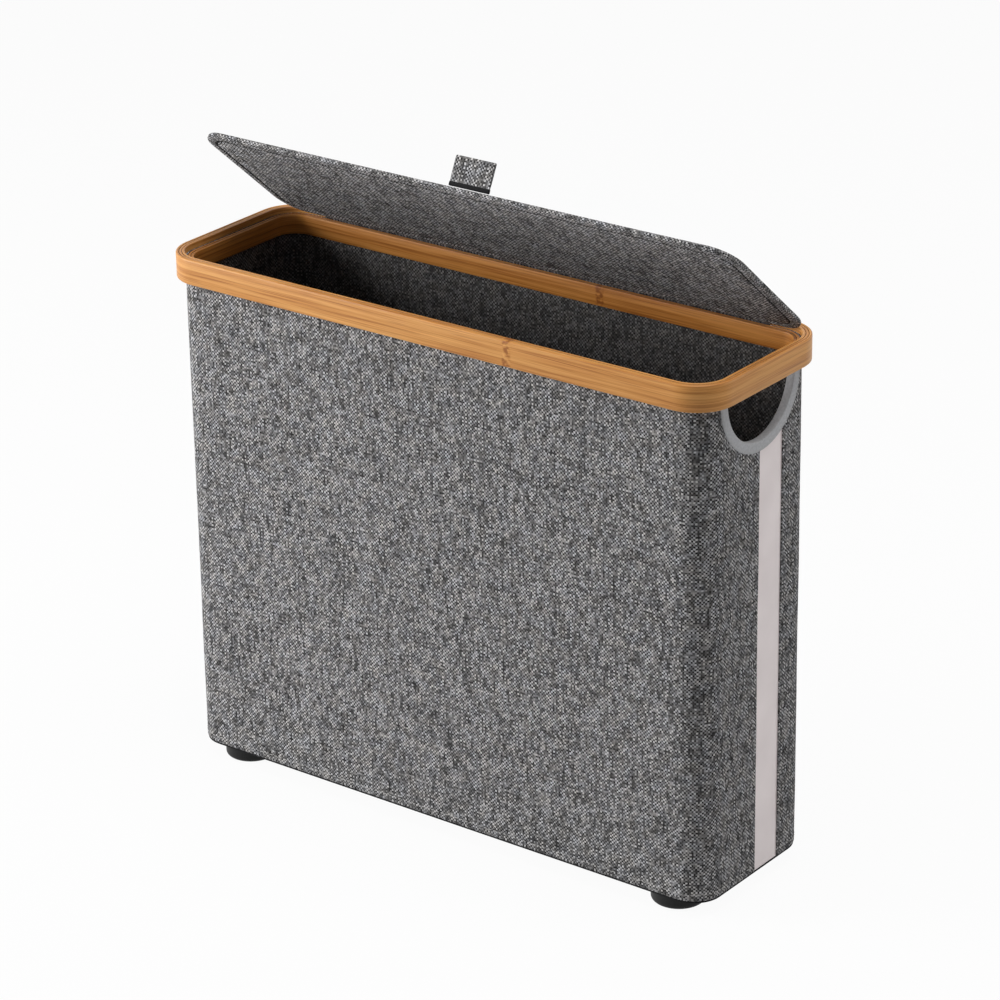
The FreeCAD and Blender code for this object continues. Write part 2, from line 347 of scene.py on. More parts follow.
HEATHER = [(0.0, grey(0.020)), (0.30, grey(0.065)), (0.52, grey(0.172)),
           (0.74, grey(0.34)), (1.0, grey(0.62))]
DARK_HEATHER = [(0.0, grey(0.012)), (0.5, (0.072, 0.070, 0.068)), (1.0, (0.25, 0.245, 0.24))]
heather_cloth = woven("heather_cloth", HEATHER, contrast=0.85, bump_strength=0.6)
lining_cloth = woven("lining_cloth", DARK_HEATHER, contrast=0.8, bump_strength=0.4)
print("cloth finishes", heather_cloth.name, lining_cloth.name)

# %% [markdown]
# Bamboo strip is bent wood: its fibres run round the hoop, so the grain is long along the plan and fine
# across it. The distance to the plan's outline gives the depth in the strip, which draws the glued layers on
# the hoop's top edge. A knuckle, where a leaf grew, crosses the strip as a narrow rumpled band.
# Straight stripes would be quicker, but they would cut across the bends.

# %% Bamboo finish
GLUE_LINES = [2.17 * MM, 4.33 * MM, 10.35 * MM]
GLUE_CORE = 0.08 * MM
GLUE_EDGE = 0.28 * MM
GLUE_DARK = 0.85
KNUCKLES = [(70.7 * MM, -1), (54 * MM, 1)]
KNUCKLE_HALF = 4.5 * MM
KNUCKLE_CORE = KNUCKLE_HALF * 0.3
KNUCKLE_WANDER = 2.5 * MM
KNUCKLE_MARK = 2.6
KNUCKLE_DARK = 0.4
RUMPLE_PLAN = 260
RUMPLE_UP = 330
BROAD_SHARE = 1.6
FINE_SHARE = 1.5
PORE_DARK = 0.45
PALE_LIFT = 1.12
GLUE_SHADE = 0.35
LACQUER_ROUGHNESS = 0.42
LACQUER_SHINE = 0.25
LACQUER_COAT = 0.12
GRAIN_HEIGHT = 0.3 * MM


def bamboo(name, pale, mid, deep):
    """Lacquered bamboo strip bent round the plan."""
    f = Finish(name)
    x, y, z = f.split(f.node("ShaderNodeTexCoord", output="Object"))
    past_x = f.math("MAXIMUM", f.math("ABSOLUTE", x) - STRAIGHT_X, 0)
    past_y = f.math("MAXIMUM", f.math("ABSOLUTE", y) - STRAIGHT_Y, 0)
    depth = CORNER - f.math("SQRT", past_x * past_x + past_y * past_y)
    knuckle = 0.0
    for place, side in KNUCKLES:
        near = 1 - f.between(f.math("ABSOLUTE", x - place), KNUCKLE_CORE, KNUCKLE_HALF)
        knuckle = near * f.math("GREATER_THAN", y * side, STRAIGHT_Y) + knuckle
    rumple = f.node("ShaderNodeTexNoise", {"noise_dimensions": "3D"}, {
        "Vector": f.join(x * RUMPLE_PLAN, y * RUMPLE_PLAN, z * RUMPLE_UP), "Scale": 1.0, "Detail": 1.0})
    wander = knuckle * (rumple - 0.5) * KNUCKLE_WANDER

    def streaks(run, fibre, detail):
        return f.node("ShaderNodeTexNoise", {"noise_dimensions": "4D"}, {
            "Vector": f.join(x / run, y / run, (z + wander) / fibre), "W": depth / fibre,
            "Scale": 1.0, "Detail": detail})

    broad = streaks(170 * MM, 2.6 * MM, 2.0)
    fine = streaks(60 * MM, 0.75 * MM, 2.0)
    pores = streaks(26 * MM, 0.42 * MM, 0.0)
    tone = (broad - 0.5) * BROAD_SHARE + (fine - 0.5) * FINE_SHARE + 0.5
    tone = tone + knuckle * ((rumple - 0.45) * KNUCKLE_MARK - KNUCKLE_DARK)
    palest = tuple(min(1, c * PALE_LIFT) for c in pale)
    colour = f.ramp(tone, [(0.0, deep), (0.38, mid), (0.68, pale), (1.0, palest)])
    pore_mark = f.between(pores, 0.63, 0.75) * PORE_DARK
    colour = f.mix(pore_mark, colour, (*deep, 1))
    glue = 0.0
    for line in GLUE_LINES:
        away = f.math("ABSOLUTE", depth - line)
        glue = (1 - f.between(away, GLUE_CORE, GLUE_EDGE)) * GLUE_DARK + glue
    colour = f.mix(glue, colour, (*[c * GLUE_SHADE for c in deep], 1))
    height = fine * 0.5 + broad * 0.3 - pore_mark - glue + knuckle * (rumple + 0.6)
    return f.give(Base_Color=colour, Roughness=LACQUER_ROUGHNESS + (fine - 0.5) * 0.25,
                  Specular_IOR_Level=LACQUER_SHINE, Coat_Weight=LACQUER_COAT, Coat_Roughness=0.3,
                  Normal=f.bump(height, 0.22, GRAIN_HEIGHT))


bamboo_strip = bamboo("bamboo_strip", pale=(0.63, 0.307, 0.087), mid=(0.54, 0.230, 0.052),
                      deep=(0.30, 0.101, 0.018))
# The inner hoop's copy is darker and redder than the outer's: painted shade, for the shade that falls inside
# the rim.
bamboo_seat_painted_shade = bamboo("bamboo_seat_painted_shade", pale=(0.58, 0.245, 0.055), mid=(0.48, 0.178, 0.032),
                     deep=(0.26, 0.080, 0.013))
print("bamboo glue lines", len(GLUE_LINES))

# %% [markdown]
# The smaller finishes: smooth tape, thread, milky film, moulded plastic, zinc and board.
# A flat colour would look like paint, so each has a fine mottling and a faint grain of its own size.

# %% Small finishes
SPECKLE_HEIGHT = 0.2 * MM
DULL_SHINE = 0.2
FELT_SHINE = 0.06


def speckled(name, colour, spread, size, roughness, **more):
    """One colour with fine mottling on the piece's own coordinates."""
    f = Finish(name)
    place = f.node("ShaderNodeTexCoord", output="Object")
    mottle = f.node("ShaderNodeTexNoise", sockets={"Vector": place, "Scale": 1 / size, "Detail": 3.0})
    dark = tuple(c * (1 - spread) for c in colour)
    light = tuple(min(1, c * (1 + spread)) for c in colour)
    return f.give(Base_Color=f.ramp(mottle, [(0.3, dark), (0.7, light)]),
                  Roughness=roughness + (mottle - 0.5) * 0.2,
                  Normal=f.bump(mottle, 0.15, SPECKLE_HEIGHT), **more)


binding_tape = speckled("binding_tape", (0.46, 0.465, 0.48), 0.12, 1.6 * MM, 0.75,
                        Specular_IOR_Level=DULL_SHINE)
pale_thread = speckled("pale_thread", (0.46, 0.45, 0.44), 0.15, 0.8 * MM, 0.8)
black_plastic = speckled("black_plastic", (0.010, 0.010, 0.010), 0.3, 0.9 * MM, 0.5,
                         Specular_IOR_Level=DULL_SHINE)
zinc = speckled("zinc", (0.62, 0.63, 0.64), 0.1, 1.2 * MM, 0.32, Metallic=1.0)
grey_board = speckled("grey_board", (0.33, 0.31, 0.28), 0.15, 2.4 * MM, 0.9)
fibre_board = speckled("fibre_board", (0.36, 0.25, 0.15), 0.18, 1.8 * MM, 0.85)
# This black is the felt of the base, the floor and the welt, and also painted shade in the lid's crease and
# at the tab's root.
black_felt_and_painted_shade = speckled("black_felt_and_painted_shade", (0.020, 0.020, 0.021), 0.35, 1.1 * MM, 0.95,
                      Specular_IOR_Level=FELT_SHINE)
milky_film = speckled("milky_film", (0.96, 0.86, 0.855), 0.05, 38 * MM, 0.22, Alpha=0.95)
print("small finishes made")

# %% [markdown]
# Some solids are already the right shape: the feet, the screws and the boards that the cloth hides.
# They keep their mesh and only take a finish.

# %% Finishes on the solids
CAD_FINISHES = {
    grey_board: ["front_board", "back_board", "left_end_board", "right_end_board_front",
                 "right_end_board_back", "lid_board"],
    fibre_board: ["base_board"],
    black_felt_and_painted_shade: ["base_cover", "lining_floor"],
    black_plastic: ["foot_front_left", "foot_front_right", "foot_back_left", "foot_back_right"],
    zinc: ["foot_screws"],
}


def paint(piece, material):
    """Gives a piece one finish."""
    piece.data.materials.clear()
    piece.data.materials.append(material)
    print("finish", material.name, "on", piece.name)


for finish, names in CAD_FINISHES.items():
    for name in names:
        paint(frame["nodes"][name], finish)

# %% [markdown]
# Modelling helpers. An operator acts on all that is selected, so each helper starts from nothing selected.
# A rounded plan starts as a plane at its size, with its four corners bevelled.

# %% Modelling helpers
CORNER_STEPS = 12
ROUND_STEPS = 3
SAME_PLACE = 1e-6
SHARP_EDGES = 40
SOFT_EDGES = 50
THREAD_EDGES = 60


def choose(piece):
    """Selects one piece and nothing else."""
    bpy.ops.object.select_all(action="DESELECT")
    piece.select_set(True)
    bpy.context.view_layer.objects.active = piece


def edit(piece, pick=None):
    """Opens a piece in edit mode with all of it selected, or only the edges or faces that pick accepts."""
    choose(piece)
    bpy.ops.object.mode_set(mode="EDIT")
    bpy.ops.mesh.select_mode(type="FACE" if pick is None else pick[0])
    bpy.ops.mesh.select_all(action="SELECT" if pick is None else "DESELECT")
    if pick is not None:
        kind, rule = pick
        bpy.ops.object.mode_set(mode="OBJECT")
        points = piece.data.vertices
        if kind == "EDGE":
            for line in piece.data.edges:
                line.select = rule(points[line.vertices[0]].co, points[line.vertices[1]].co)
        else:
            for face in piece.data.polygons:
                face.select = rule(face.center, face.normal)
        bpy.ops.object.mode_set(mode="EDIT")


def done():
    """Leaves edit mode."""
    bpy.ops.object.mode_set(mode="OBJECT")


def start_plane(name, x_low, x_high, y_low, y_high, z):
    """A flat start for a piece, with its place in its mesh."""
    bpy.ops.object.select_all(action="DESELECT")
    bpy.ops.mesh.primitive_plane_add(size=1, location=((x_low + x_high) / 2, (y_low + y_high) / 2, z))
    piece = bpy.context.object
    piece.name = name
    piece.scale = (x_high - x_low, y_high - y_low, 1)
    bpy.ops.object.transform_apply(location=True, rotation=True, scale=True)
    return piece


def start_grid(name, width, height, columns, rows):
    """A flat cut of cloth as a grid, with its middle at the origin."""
    bpy.ops.object.select_all(action="DESELECT")
    bpy.ops.mesh.primitive_grid_add(x_subdivisions=columns, y_subdivisions=rows, size=1)
    piece = bpy.context.object
    piece.name = name
    piece.scale = (width, height, 1)
    bpy.ops.object.transform_apply(location=False, rotation=False, scale=True)
    return piece


def rounded_plan(name, x_low, x_high, y_low, y_high, z, radius, steps=CORNER_STEPS):
    """A flat rounded rectangle."""
    piece = start_plane(name, x_low, x_high, y_low, y_high, z)
    edit(piece)
    bpy.ops.mesh.bevel(offset=radius, offset_type="OFFSET", segments=steps, affect="VERTICES")
    done()
    return piece


def bin_plan(name, depth, z):
    """The bin's own plan at a depth inside the rim's outside face."""
    half_x = HALF_X - depth
    half_y = HALF_Y - depth
    return rounded_plan(name, -half_x, half_x, -half_y, half_y, z, CORNER - depth)


def extrude_up(rise):
    """Extrudes what is selected straight up."""
    bpy.ops.mesh.extrude_region_move(TRANSFORM_OT_translate={"value": (0, 0, rise)})


def modify(piece, kind, **settings):
    """Adds a modifier and applies it."""
    choose(piece)
    modifier = piece.modifiers.new(kind.lower(), kind)
    for key, value in settings.items():
        setattr(modifier, key, value)
    bpy.ops.object.modifier_apply(modifier=modifier.name)


def tidy_normals(piece):
    """Merges doubles and turns every face outwards."""
    edit(piece)
    bpy.ops.mesh.remove_doubles(threshold=SAME_PLACE)
    bpy.ops.mesh.normals_make_consistent(inside=False)
    done()


def raise_up(piece, rise):
    """Raises a flat plan into a solid."""
    edit(piece)
    extrude_up(rise)
    done()
    tidy_normals(piece)


def raise_ring(piece, wall, rise):
    """Cuts the middle out of a flat plan, and raises the ring that is left."""
    edit(piece)
    bpy.ops.mesh.inset(thickness=wall, use_boundary=True, use_even_offset=True)
    bpy.ops.mesh.delete(type="FACE")
    done()
    raise_up(piece, rise)


def smooth(piece, degrees):
    """Shades smooth, and keeps edges sharper than an angle."""
    choose(piece)
    bpy.ops.object.shade_smooth_by_angle(angle=math.radians(degrees))


def write_uv(piece, rule):
    """Gives a piece a UV map in metres: rule turns a vertex's place into (u, v)."""
    layer = piece.data.uv_layers.active or piece.data.uv_layers.new(name="flat_cut")
    for loop in piece.data.loops:
        layer.data[loop.index].uv = rule(piece.data.vertices[loop.vertex_index].co)


def finish_piece(piece, material, body, slot, *nodes):
    """Gives a piece its finish and its body, and hides the solids that it stands for."""
    paint(piece, material)
    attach(piece, body)
    if nodes:
        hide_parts(*nodes)
    print("made", piece.name, len(piece.data.polygons), "faces")


def fuse(name, pieces):
    """Joins several objects into one piece."""
    bpy.ops.object.select_all(action="DESELECT")
    for piece in pieces:
        piece.select_set(True)
    bpy.context.view_layer.objects.active = pieces[0]
    bpy.ops.object.join()
    pieces[0].name = name
    return pieces[0]


STITCH_SIDES = 8
STITCH_RINGS = 5
STITCH_FLATNESS = 0.7


def stitch_row(name, places, length, width):
    """A row of stitches. places gives each one's middle, its way along the row and its way out."""
    bpy.ops.object.select_all(action="DESELECT")
    bpy.ops.mesh.primitive_uv_sphere_add(segments=STITCH_SIDES, ring_count=STITCH_RINGS, radius=0.5)
    model = bpy.context.object
    model.scale = (length, width, width * STITCH_FLATNESS)
    bpy.ops.object.transform_apply(location=False, rotation=False, scale=True)
    copies = []
    for middle, along, out in places:
        copy = model.copy()
        copy.data = model.data.copy()
        turn = Matrix((along, out.cross(along), out)).transposed().to_4x4()
        copy.data.transform(Matrix.Translation(middle) @ turn)
        bpy.context.collection.objects.link(copy)
        copies.append(copy)
    bpy.data.objects.remove(model)
    row = fuse(name, copies)
    smooth(row, THREAD_EDGES)
    return row


print("helpers ready")

# %% [markdown]
# The rim is two hoops. The outer one is glued from thin strips, whose edges show as fine lines on its top,
# so each strip is a ring of its own with rounded edges. The inner hoop sits lower, and the lid rests on it.
# A ring is an inset plan with its middle deleted, raised up. A bevelled curve would lose the square section.


# %% Bent strips
def strip_ring(name, depth, thickness, z_low, z_high, round_over):
    """One bent strip with rounded edges."""
    ring = bin_plan(name, depth, z_low)
    raise_ring(ring, thickness, z_high - z_low)

    def from_middle(point):
        past = Vector((max(abs(point.x) - STRAIGHT_X, 0), max(abs(point.y) - STRAIGHT_Y, 0))).length
        return CORNER - past - depth - thickness / 2

    def level_edge(a, b):
        return abs(a.z - b.z) < SAME_PLACE and from_middle(a) * from_middle(b) >= 0

    edit(ring, ("EDGE", level_edge))
    bpy.ops.mesh.bevel(offset=round_over, segments=ROUND_STEPS, affect="EDGES", clamp_overlap=True)
    done()
    smooth(ring, SHARP_EDGES)
    return ring


print("strips ready")

# %% Bamboo hoops
CLEARANCE = 0.05 * MM
STRIP_DROPS = [0.0, 0.25 * MM, 0.1 * MM]
FIRST_ROUND = 1.3 * MM
STRIP_ROUND = 0.7 * MM
strip_thickness = (COVER_DEPTH - CLEARANCE) / len(STRIP_DROPS)
strips = []
for index, drop in enumerate(STRIP_DROPS):
    strips.append(strip_ring(f"strip_{index}", index * strip_thickness, strip_thickness, RIM_BOTTOM + drop,
                             RIM_TOP - drop, FIRST_ROUND if index == 0 else STRIP_ROUND))
outer_hoop = fuse("outer_hoop", strips)
finish_piece(outer_hoop, bamboo_strip, "bin", "bamboo", "rim_outer_hoop")

INNER_DEPTH = HALF_X - ledge_high.x
INNER_STRIP = 2.1 * MM
INNER_DROPS = [0.0, 0.15 * MM]
inner_strips = []
for index, drop in enumerate(INNER_DROPS):
    inner_strips.append(strip_ring(f"inner_strip_{index}", INNER_DEPTH + index * INNER_STRIP, INNER_STRIP,
                                   RIM_BOTTOM + drop, LEDGE_TOP - drop, STRIP_ROUND))
inner_hoop = fuse("inner_hoop", inner_strips)
finish_piece(inner_hoop, bamboo_seat_painted_shade, "bin", "bamboo", "rim_inner_hoop")

# %% [markdown]
# The cover is one long rectangle of cloth, wrapped round the boards from one edge of the window to the
# other. A grid is the flat cut: its rows and columns are carried round the plan, and its UV map remembers
# where each point lay on the flat. A slight swell keeps the walls from looking like painted board.
# Cloth simulation could drape it, but a stretched cover only follows its boards.

# %% Wrapping cloth round the plan
WEAVE_STEP = 3.7 * MM
SWELL_FADE = 40 * MM
BROAD_WAVE = (13, 9)
FINE_WAVE = (29, 22)
FINE_WAVE_SHARE = 0.5


def plan_point(distance, depth):
    """The point at a distance round the plan, and the way out from it. 0 is the middle of the right end."""
    radius = CORNER - depth
    quarter = radius * math.pi / 2
    place = Vector((HALF_X - depth, 0))
    heading = math.pi / 2
    runs = [STRAIGHT_Y, 2 * STRAIGHT_X, 2 * STRAIGHT_Y, 2 * STRAIGHT_X, STRAIGHT_Y]
    left = distance
    for index, run in enumerate(runs):
        ahead = Vector((math.cos(heading), math.sin(heading)))
        out = Vector((ahead.y, -ahead.x))
        if left <= run or index == len(runs) - 1:
            return place + ahead * left, out
        place = place + ahead * run
        left -= run
        centre = place - out * radius
        if left <= quarter:
            turn = Matrix.Rotation(left / radius, 2)
            return centre + turn @ (out * radius), turn @ out
        place = centre + Matrix.Rotation(math.pi / 2, 2) @ (out * radius)
        heading += math.pi / 2
        left -= quarter


def plan_length(depth):
    """The distance right round the plan."""
    return 4 * (STRAIGHT_X + STRAIGHT_Y) + 2 * math.pi * (CORNER - depth)


def ripple(x, y, waves, seed):
    """A smooth wave over a cloth. waves is how many there are in a metre, each way."""
    return noise.noise(Vector((x * waves[0], y * waves[1], seed)))


def wrapped_cloth(name, depth, z_low, z_high, swell, seed):
    """Cloth wrapped round the bin from the window's back edge to its front edge."""
    width = plan_length(depth) - (WINDOW_BACK - WINDOW_FRONT)
    height = z_high - z_low
    cloth = start_grid(name, width, height, round(width / WEAVE_STEP), round(height / WEAVE_STEP))
    write_uv(cloth, lambda point: (point.x + width / 2, point.y + height / 2))
    for vertex in cloth.data.vertices:
        along = vertex.co.x + width / 2
        up = vertex.co.y + height / 2
        place, out = plan_point(WINDOW_BACK + along, depth)
        wave = ripple(along, up, BROAD_WAVE, seed) + FINE_WAVE_SHARE * ripple(along, up, FINE_WAVE, seed)
        place = place + out * wave * swell * min(1, up / SWELL_FADE)
        vertex.co = Vector((place.x, place.y, z_low + up))
    tidy_normals(cloth)
    return cloth, width, height


print("plan length at the cover", round(plan_length(COVER_DEPTH) / MM, 1), "mm")

# %% [markdown]
# The half-moon for the hand goes through the cover and the lining alike, so one function cuts both, with half
# a cylinder as the cutter. Deleting faces of the grid would leave a stepped edge.

# %% Hand cut-out
TAPE_WIDTH = 6.8 * MM
HAND_RADIUS = TAPE_RADIUS - TAPE_WIDTH
HAND_STEPS = 96
CUTTER_LENGTH = 80 * MM


def cut_hand_hole(piece):
    """Cuts the half-moon out of the right end."""
    bpy.ops.object.select_all(action="DESELECT")
    bpy.ops.mesh.primitive_cylinder_add(vertices=HAND_STEPS, radius=HAND_RADIUS, depth=CUTTER_LENGTH,
                                        location=(HALF_X, 0, RIM_BOTTOM), rotation=(0, math.pi / 2, 0))
    cutter = bpy.context.object
    bpy.ops.object.transform_apply(location=True, rotation=True, scale=True)
    edit(cutter)
    bpy.ops.mesh.bisect(plane_co=(0, 0, RIM_BOTTOM), plane_no=(0, 0, 1), clear_outer=True, use_fill=True)
    done()
    tidy_normals(cutter)
    modify(piece, "BOOLEAN", object=cutter, operation="DIFFERENCE", solver="EXACT")
    bpy.data.objects.remove(cutter)


print("hand cut-out", round(HAND_RADIUS / MM, 1), "mm radius")

# %% [markdown]
# The cover's lower edge is turned under the base: the edge is extruded down and in, a little more each time.

# %% Cover
TURN_UNDER = 1.5 * MM
COVER_TOP_GAP = 0.5 * MM
COVER_SWELL = 0.35 * MM
COVER_SEED = 3.1
TURN_STEPS = [(0.5 * MM, 0.9 * MM), (1.1 * MM, 0.6 * MM), (5 * MM, 0)]
LOWEST_ROW = 0.01 * MM
cover_cloth, cover_width, cover_height = wrapped_cloth(
    "cover_cloth", COVER_DEPTH, BODY_BOTTOM + TURN_UNDER, LEDGE_TOP - COVER_TOP_GAP, COVER_SWELL, COVER_SEED)
for inward, down in TURN_STEPS:
    row_top = min(vertex.co.z for vertex in cover_cloth.data.vertices) + LOWEST_ROW
    edit(cover_cloth, ("EDGE", lambda a, b: a.z < row_top and b.z < row_top))
    extrude_up(-down)
    bpy.ops.transform.resize(value=(1 - inward / HALF_X, 1 - inward / HALF_Y, 1), center_override=(0, 0, 0))
    done()
tidy_normals(cover_cloth)
modify(cover_cloth, "SOLIDIFY", thickness=COVER_CLOTH, offset=-1)
cut_hand_hole(cover_cloth)
smooth(cover_cloth, SOFT_EDGES)
finish_piece(cover_cloth, heather_cloth, "bin", "grey_fabric", "outer_cover")

# %% [markdown]
# A row of stitches holds the cover's turned-under edge, and a thin dark welt closes the seam with the base.
# One stitch is modelled and copied along the row.

# %% Bottom seam
STITCH_PITCH = 4.2 * MM
STITCH_RISE = 5.5 * MM
STITCH_PROUD = 0.1 * MM
STITCH_LENGTH = 2.9 * MM
STITCH_WIDTH = 0.6 * MM
row_places = []
for index in range(1, int(cover_width / STITCH_PITCH)):
    place, out = plan_point(WINDOW_BACK + index * STITCH_PITCH, COVER_DEPTH - STITCH_PROUD)
    middle = Vector((place.x, place.y, BODY_BOTTOM + STITCH_RISE))
    row_places.append((middle, Vector((-out.y, out.x, 0)), Vector((out.x, out.y, 0))))
bottom_stitches = stitch_row("bottom_stitches", row_places, STITCH_LENGTH, STITCH_WIDTH)
finish_piece(bottom_stitches, pale_thread, "bin", "grey_fabric")

# %% Base welt
BASE_WELT_IN = 0.5 * MM
BASE_WELT_WIDTH = 1.7 * MM
BASE_WELT_DROP = 0.9 * MM
BASE_WELT_RISE = 0.6 * MM
BASE_WELT_ROUND = 0.55 * MM
base_welt = strip_ring("base_welt", COVER_DEPTH + BASE_WELT_IN, BASE_WELT_WIDTH,
                       BODY_BOTTOM - BASE_WELT_DROP, BODY_BOTTOM + BASE_WELT_RISE, BASE_WELT_ROUND)
finish_piece(base_welt, black_felt_and_painted_shade, "bin", "dark_cloth")

# %% [markdown]
# The lining is wrapped the same way inside the boards, in a darker cloth. Its top laps up between the hoops,
# where it is clamped beside the cover, except along the hinge. The lap is a thin ring with that length cut
# out of its back.

# %% Lining
LINING_TOP_GAP = 0.1 * MM
LINING_SWELL = 0.3 * MM
LINING_SEED = 8.4
LAP_DEPTH = COVER_DEPTH + COVER_CLOTH + CLEARANCE
LAP_TOP_GAP = 0.2 * MM
LAP_ROUND = 0.1 * MM
LEAF_GAP = 0.5 * MM
lining_wrap, lining_width, lining_height = wrapped_cloth(
    "lining_wrap", LINING_DEPTH, floor_low.z, RIM_BOTTOM - LINING_TOP_GAP, LINING_SWELL, LINING_SEED)
modify(lining_wrap, "SOLIDIFY", thickness=LINING_CLOTH, offset=-1)
cut_hand_hole(lining_wrap)
smooth(lining_wrap, SOFT_EDGES)
lap = strip_ring("lap", LAP_DEPTH, LINING_CLOTH, RIM_BOTTOM, LEDGE_TOP - LAP_TOP_GAP, LAP_ROUND)
edit(lap)
for side in (-1, 1):
    bpy.ops.mesh.select_all(action="SELECT")
    bpy.ops.mesh.bisect(plane_co=(side * (half_leaf + LEAF_GAP), 0, 0), plane_no=(1, 0, 0))
done()
edit(lap, ("FACE", lambda centre, normal: centre.y > STRAIGHT_Y and abs(centre.x) < half_leaf))
bpy.ops.mesh.delete(type="FACE")
bpy.ops.mesh.select_all(action="SELECT")
bpy.ops.mesh.fill_holes(sides=0)
done()
write_uv(lap, lambda point: (point.x + point.y, point.z))
lining_wrap = fuse("lining_wrap", [lining_wrap, lap])
finish_piece(lining_wrap, lining_cloth, "bin", "dark_cloth", "lining_sleeve")

# %% [markdown]
# The lining's panels are joined by welted seams near the corners, which show as upright ridges.
# Each is a small rounded post, half sunk in the lining.

# %% Lining seams
WELT = 2.2 * MM
WELT_ROUND = WELT * 0.4
lining_face = LINING_DEPTH + LINING_CLOTH
quarter_turn = (CORNER - lining_face) * math.pi / 2
left_back = STRAIGHT_Y + 2 * quarter_turn + 2 * STRAIGHT_X
seam_places = [STRAIGHT_Y, left_back, left_back + 2 * STRAIGHT_Y, plan_length(lining_face) - STRAIGHT_Y]
welts = []
for index, distance in enumerate(seam_places):
    place, _ = plan_point(distance, lining_face)
    welt = rounded_plan(f"welt_{index}", place.x - WELT / 2, place.x + WELT / 2, place.y - WELT / 2,
                        place.y + WELT / 2, floor_high.z, WELT_ROUND, ROUND_STEPS)
    raise_up(welt, RIM_BOTTOM - floor_high.z)
    write_uv(welt, lambda point: (point.x + point.y, point.z))
    smooth(welt, SOFT_EDGES)
    welts.append(welt)
lining_seams = fuse("lining_seams", welts)
finish_piece(lining_seams, lining_cloth, "bin", "dark_cloth")

# %% [markdown]
# The lid is a board in a cloth cover. The cover turns under along the edge as a hem, and a panel fills the
# middle of the underside. Both start as a rounded plan, drawn shut, cut into a grid by bisecting so that they
# can swell a little, and then turned open about the hinge.

# %% Lid cloth
LID_RADIUS = 20 * MM
HEM = 6 * MM
GRID_STEP = 14 * MM


def grid_cuts(piece, x_low, x_high, y_low, y_high):
    """Bisects a piece into a grid."""
    edit(piece)
    for axis, low, high in ((0, x_low, x_high), (1, y_low, y_high)):
        count = int((high - low) / GRID_STEP)
        for index in range(1, count):
            place = Vector()
            place[axis] = low + (high - low) * index / count
            direction = Vector()
            direction[axis] = 1
            bpy.ops.mesh.select_all(action="SELECT")
            bpy.ops.mesh.bisect(plane_co=place, plane_no=direction)
    done()


def lid_flat(point):
    """Where a point of the shut lid's cover lies on the flat cut, with its edge and hem laid out flat."""
    core_x = max(lid_low.x + LID_RADIUS, min(lid_high.x - LID_RADIUS, point.x))
    core_y = max(lid_low.y + LID_RADIUS, min(lid_high.y - LID_RADIUS, point.y))
    away = Vector((point.x - core_x, point.y - core_y))
    reach = away.length
    if reach < SAME_PLACE:
        return (point.x + HALF_X, point.y + HALF_Y)
    drop = lid_high.z - point.z
    under = drop > (lid_high.z - lid_low.z) / 2
    laid = (2 * LID_RADIUS - reach if under else reach) + drop
    return (core_x + away.x / reach * laid + HALF_X, core_y + away.y / reach * laid + HALF_Y)


print("lid hem", HEM / MM, "mm")

# %% Lid cover
LID_EDGE = 1.5 * MM
LID_EDGE_STEPS = 4
PANEL_RECESS = 1.3 * MM
FACING_DOWN = -0.99
LID_TOP_LAYER = 0.2 * MM
LID_SWELL = 0.25 * MM
LID_WAVE = (11, 17)
LID_SEED = 5.0
lid_cover = rounded_plan("lid_cover", lid_low.x, lid_high.x, lid_low.y, lid_high.y, lid_low.z, LID_RADIUS)
raise_up(lid_cover, lid_high.z - lid_low.z)
edit(lid_cover, ("EDGE", lambda a, b: abs(a.z - b.z) < SAME_PLACE))
bpy.ops.mesh.bevel(offset=LID_EDGE, segments=LID_EDGE_STEPS, affect="EDGES")
done()
edit(lid_cover, ("FACE", lambda centre, normal: normal.z < FACING_DOWN))
bpy.ops.mesh.inset(thickness=HEM - LID_EDGE, use_even_offset=True)
extrude_up(PANEL_RECESS)
done()
grid_cuts(lid_cover, lid_low.x, lid_high.x, lid_low.y, lid_high.y)
for vertex in lid_cover.data.vertices:
    if vertex.co.z > lid_high.z - LID_TOP_LAYER:
        vertex.co.z += LID_SWELL * ripple(vertex.co.x, vertex.co.y, LID_WAVE, LID_SEED)
write_uv(lid_cover, lid_flat)
lid_cover.data.transform(LID_TURN)
smooth(lid_cover, SHARP_EDGES)
finish_piece(lid_cover, heather_cloth, "lid", "grey_fabric", "lid_top_cover")

# %% [markdown]
# The panel stops short of the hem, which leaves a crease round it, except at the back, where the hinge is.

# %% Lid panel
GROOVE = 1.4 * MM
BACK_GROOVE = 0.1 * MM
PANEL_EDGE = 0.6 * MM
PANEL_LOW_LAYER = 0.05 * MM
PANEL_EASE = 12 * MM
PANEL_SAG = 0.1 * MM
PANEL_SWELL = 0.15 * MM
PANEL_WAVE = (12, 19)
PANEL_SEED = 2.0
lid_panel = rounded_plan("lid_panel", panel_low.x + GROOVE, panel_high.x - GROOVE, panel_low.y + GROOVE,
                         panel_high.y - BACK_GROOVE, panel_low.z, LID_RADIUS - HEM - GROOVE)
raise_up(lid_panel, panel_high.z - panel_low.z)
underside = panel_low.z + SAME_PLACE
edit(lid_panel, ("EDGE", lambda a, b: a.z < underside and b.z < underside))
bpy.ops.mesh.bevel(offset=PANEL_EDGE, segments=ROUND_STEPS, affect="EDGES")
done()
grid_cuts(lid_panel, panel_low.x, panel_high.x, panel_low.y, panel_high.y)
